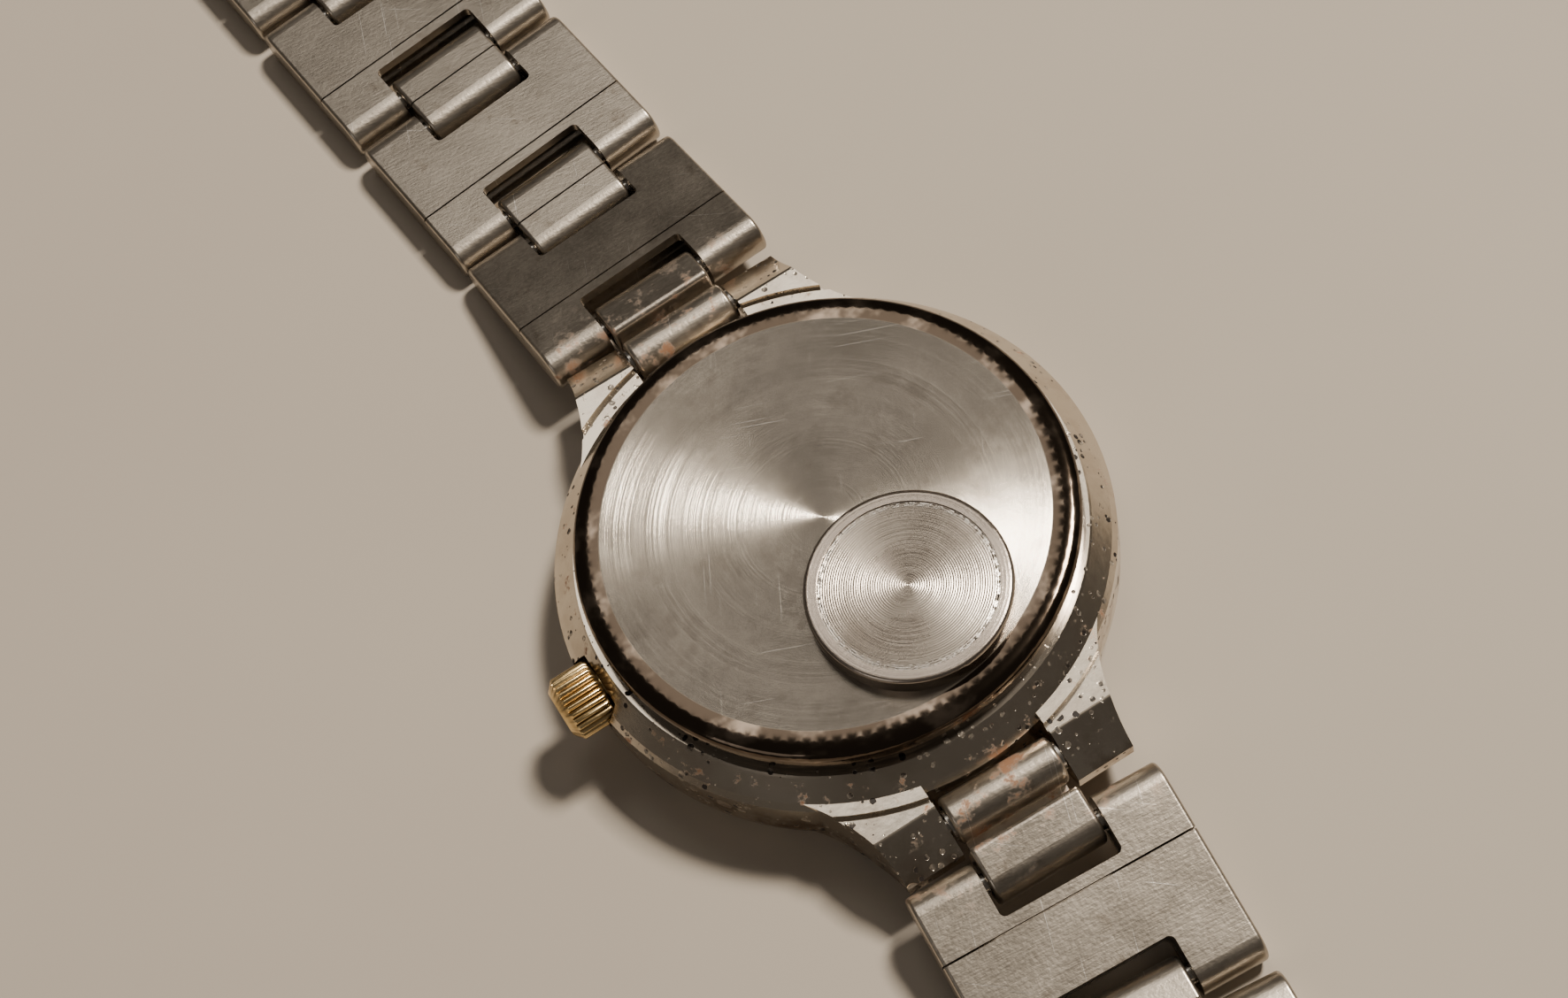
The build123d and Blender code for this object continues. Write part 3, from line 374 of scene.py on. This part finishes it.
# ---------------------------------------------------------------- gold crown
def worn_gold():
    """Pale gold plating, dark in the flutes and worn through in patches."""
    finish = Finish("worn gold plate", Metallic=1.0)
    offset = finish.vector("SUBTRACT", finish.place, (0, 0, CROWN_Z))
    radius = finish.vector("LENGTH", finish.vector("MULTIPLY", offset, (0, 1, 1)), output=1)
    valley = 1 - radius.between(CROWN_VALLEY, CROWN_CREST - 0.03 * MM)
    outer = finish.axes()[0].between(crown_low.x, crown_low.x + 0.5 * MM)
    wear = finish.noise(900, 4, 0.65)
    gold = finish.tinted(wear, (0.72, 0.49, 0.20), (0.93, 0.74, 0.42))
    gold = finish.mix(valley * outer * 0.85, gold, (0.10, 0.055, 0.02, 1))
    return finish.feed(
        Base_Color=finish.mix(wear.between(0.60, 0.70) * 0.8, gold, (0.16, 0.10, 0.05, 1)),
        Roughness=wear * 0.25 + 0.12 + valley * outer * 0.25,
        Normal=finish.bump(finish.noise(4200, 3), 0.00002, 0.5),
    )


# ---------------------------------------------------------------- plain materials of the inside
METAL_GRAIN = 7000
DULL_GRAIN = 6000
WIRE_PITCH = 0.09 * MM


def metal(name, dark, light, roughness, across=1.0):
    """Clean metal with a light grain; across below 1 draws the grain out along Y."""
    finish = Finish(name, Metallic=1.0)
    place = finish.turned(0, METAL_GRAIN, METAL_GRAIN * across, METAL_GRAIN)
    grain = finish.noise(1, 3, 0.6, place=place)
    cloud = finish.noise(350, 3)
    return finish.feed(
        Base_Color=finish.tinted(cloud * 0.6 + grain * 0.4, dark, light),
        Roughness=cloud * 0.12 + (roughness - 0.06),
        Normal=finish.bump(grain, 0.00001, 0.3),
    )


def dull(name, dark, light, roughness, **constants):
    """Plastic, rubber or lacquer with a fine grain."""
    finish = Finish(name, **constants)
    grain = finish.noise(DULL_GRAIN, 3, 0.6)
    cloud = finish.noise(300, 3)
    return finish.feed(
        Base_Color=finish.tinted(cloud, dark, light),
        Roughness=grain * 0.12 + (roughness - 0.06),
        Normal=finish.bump(grain, 0.00001, 0.25),
    )


def wound_copper():
    """Lacquered copper wire wound round the coil's core, which runs along X."""
    finish = Finish("wound copper", Metallic=1.0, Coat_Weight=0.6)
    winding_bumps_and_shade = finish.maths("SINE", finish.axes()[0] * (math.tau / WIRE_PITCH))
    return finish.feed(
        # painted shade and highlight: the colour runs dark in the grooves between windings and light on
        # their crests; the same wave also bumps the wire and varies its roughness
        Base_Color=finish.tinted(winding_bumps_and_shade * 0.5 + 0.5, (0.32, 0.10, 0.04), (0.80, 0.36, 0.18)),
        Roughness=winding_bumps_and_shade * -0.05 + 0.28,
        Normal=finish.bump(winding_bumps_and_shade, 0.00003, 0.6),
    )


def printed_board():
    """Solder mask with copper tracks under it and bare gilt pads."""
    finish = Finish("printed board", Coat_Weight=0.4)
    across = finish.axes()[0]
    track = finish.maths("PINGPONG", across + finish.noise(260, 0) * 0.6 * MM, 0.55 * MM)
    track = track.between(0.36 * MM, 0.42 * MM) * finish.noise(330, 0).between(0.44, 0.47)
    pad = finish.add("ShaderNodeTexVoronoi", {}, {"Vector": finish.place, "Scale": 620.0})
    pad = 1 - pad.between(0.16, 0.19)
    mask = finish.tinted(track, (0.012, 0.075, 0.035), (0.035, 0.17, 0.07))
    return finish.feed(
        Base_Color=finish.mix(pad, mask, (0.80, 0.60, 0.28, 1)),
        Metallic=pad * 0.95,
        Roughness=0.30 + track * 0.08,
        Normal=finish.bump(track + pad, 0.00002, 0.6),
    )


# ---------------------------------------------------------------- materials on the frame
def assign(piece, material):
    piece.data.materials.clear()
    piece.data.materials.append(material)


GLASS = Finish("mineral glass", IOR=1.52, Transmission_Weight=1.0)
FINISHES = {
    "plated_brass": worn_plating(),
    "steel_back": back_steel(),
    "turned_steel": hatch_steel(),
    "gold_plate": worn_gold(),
    "link_steel": link_steel(),
    "pin_steel": metal("drawn steel", (0.36, 0.34, 0.31), (0.66, 0.63, 0.59), 0.26, 0.2),
    "polished_steel": metal("bright steel", (0.55, 0.54, 0.52), (0.80, 0.79, 0.77), 0.16),
    "brass": metal("machined brass", (0.56, 0.41, 0.17), (0.84, 0.68, 0.36), 0.24),
    "copper": wound_copper(),
    "mineral_glass": GLASS.feed(Roughness=GLASS.noise(900, 4) * 0.04),
    "dial_white": dull("dial lacquer", (0.84, 0.83, 0.79), (0.88, 0.87, 0.84), 0.45),
    "hand_black": dull("black lacquer", (0.010, 0.010, 0.011), (0.02, 0.02, 0.022), 0.25),
    "hand_red": dull("red lacquer", (0.48, 0.02, 0.015), (0.60, 0.035, 0.025), 0.3),
    "rubber": dull("nitrile rubber", (0.014, 0.014, 0.014), (0.03, 0.03, 0.029), 0.6),
    "nylon": dull("natural nylon", (0.74, 0.72, 0.66), (0.82, 0.80, 0.75), 0.4, Subsurface_Weight=0.1),
    "movement_plastic": dull("moulded plastic", (0.03, 0.03, 0.034), (0.06, 0.06, 0.064), 0.5),
    "board": printed_board(),
    "magnet": metal("sintered magnet", (0.16, 0.16, 0.17), (0.30, 0.30, 0.31), 0.42),
}
for part in frame["record"]["subparts"]:
    assign(frame["nodes"][part["node"]], FINISHES[part["material_slot"]])


# ---------------------------------------------------------------- crown with rounded flutes
def finish_mesh(name, mesh, smooth=35):
    """Object from a bmesh, with outward faces and soft shading below an angle in degrees."""
    bmesh.ops.recalc_face_normals(mesh, faces=mesh.faces)
    data = bpy.data.meshes.new(name)
    mesh.to_mesh(data)
    mesh.free()
    piece = bpy.data.objects.new(name, data)
    bpy.context.scene.collection.objects.link(piece)
    data.shade_smooth()
    data.set_sharp_from_angle(angle=math.radians(smooth))
    return piece


CROWN_FLUTES = 25
CROWN_BEVEL = 0.42 * MM
FLUTE_STEPS = 14


def fluted_crown():
    """Crown as the photo shows it: rounded flute crests, a plain bevel and a flat outer face."""
    outer, inner = crown_low.x, crown_high.x
    # place along X, radius of the crests, and share of the full flute depth
    stations = (
        (outer, 0.0, 0.0),
        (outer, CROWN_CREST - CROWN_BEVEL * 1.15, 0.0),
        (outer + 0.05 * MM, CROWN_CREST - CROWN_BEVEL, 0.0),
        (outer + CROWN_BEVEL * 0.8, CROWN_CREST - 0.1 * MM, 0.15),
        (outer + CROWN_BEVEL, CROWN_CREST - 0.01 * MM, 1.0),
        (inner - 0.25 * MM, CROWN_CREST - 0.01 * MM, 1.0),
        (inner - 0.12 * MM, CROWN_CREST - 0.1 * MM, 0.8),
        (inner, CROWN_CREST - CROWN_BEVEL, 0.0),
        (inner, 0.0, 0.0),
    )
    mesh = bmesh.new()
    count = CROWN_FLUTES * FLUTE_STEPS
    rows = []
    for x, radius, depth in stations:
        if radius == 0:
            rows.append([mesh.verts.new((x, 0, CROWN_Z))] * count)
            continue
        row = []
        for step in range(count):
            angle = math.tau * step / count
            dip = 1 - abs(math.cos(angle * CROWN_FLUTES / 2)) ** 0.7
            reach = radius - depth * dip * (CROWN_CREST - CROWN_VALLEY)
            row.append(mesh.verts.new((x, reach * math.cos(angle), CROWN_Z + reach * math.sin(angle))))
        rows.append(row)
    for here, beyond in zip(rows, rows[1:]):
        for step in range(count):
            corners = (here[step], here[step - 1], beyond[step - 1], beyond[step])
            mesh.faces.new(dict.fromkeys(corners))
    return finish_mesh("crown_fluted", mesh)


crown = fluted_crown()
assign(crown, FINISHES["gold_plate"])
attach(crown, "crown")
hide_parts("crown")

# ---------------------------------------------------------------- dial markers
HOUR_MARK = (1.7 * MM, 0.42 * MM)       # length and width
MINUTE_MARK = (0.5 * MM, 0.12 * MM)
MARK_OUTER = DIAL_RADIUS - 0.9 * MM
MARK_HEIGHT = 0.03 * MM


def dial_marks():
    """Sixty plain marks on the dial, longer and wider at the hours."""
    mesh = bmesh.new()
    for minute in range(60):
        length, width = MINUTE_MARK if minute % 5 else HOUR_MARK
        made = bmesh.ops.create_cube(mesh, size=1.0)["verts"]
        size = Matrix.Diagonal((length, width, MARK_HEIGHT, 1))
        shift = Matrix.Translation((MARK_OUTER - length / 2, 0, dial_low.z - MARK_HEIGHT / 2))
        turn = Matrix.Rotation(math.tau * minute / 60, 4, "Z")
        bmesh.ops.transform(mesh, matrix=turn @ shift @ size, verts=made)
    return finish_mesh("dial_marks", mesh)


marks = dial_marks()
assign(marks, FINISHES["hand_black"])
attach(marks, "head")

# ---------------------------------------------------------------- softened edges
LINK_EDGE = 0.12 * MM
for name, node in frame["nodes"].items():
    if "_link" in name or "_center_" in name or name.startswith("clasp_"):
        edge = node.modifiers.new("edge", "BEVEL")
        edge.width = LINK_EDGE
        edge.segments = 3
        edge.limit_method = "ANGLE"
        edge.angle_limit = math.radians(50)

# ---------------------------------------------------------------- floor and surroundings
bpy.ops.mesh.primitive_plane_add(size=4.0, location=(0, 0, 0))
floor = bpy.context.object
floor.name = "floor"
paper = Finish("pale table", Roughness=0.7)
floor.data.materials.append(paper.feed(
    Base_Color=paper.tinted(paper.noise(40, 3), (0.50, 0.44, 0.37), (0.55, 0.49, 0.41)),
))

world = bpy.data.worlds.new("studio")
bpy.context.scene.world = world
world.use_nodes = True
backdrop = world.node_tree.nodes["Background"]
backdrop.inputs["Color"].default_value = (0.85, 0.76, 0.66, 1)
backdrop.inputs["Strength"].default_value = 0.09
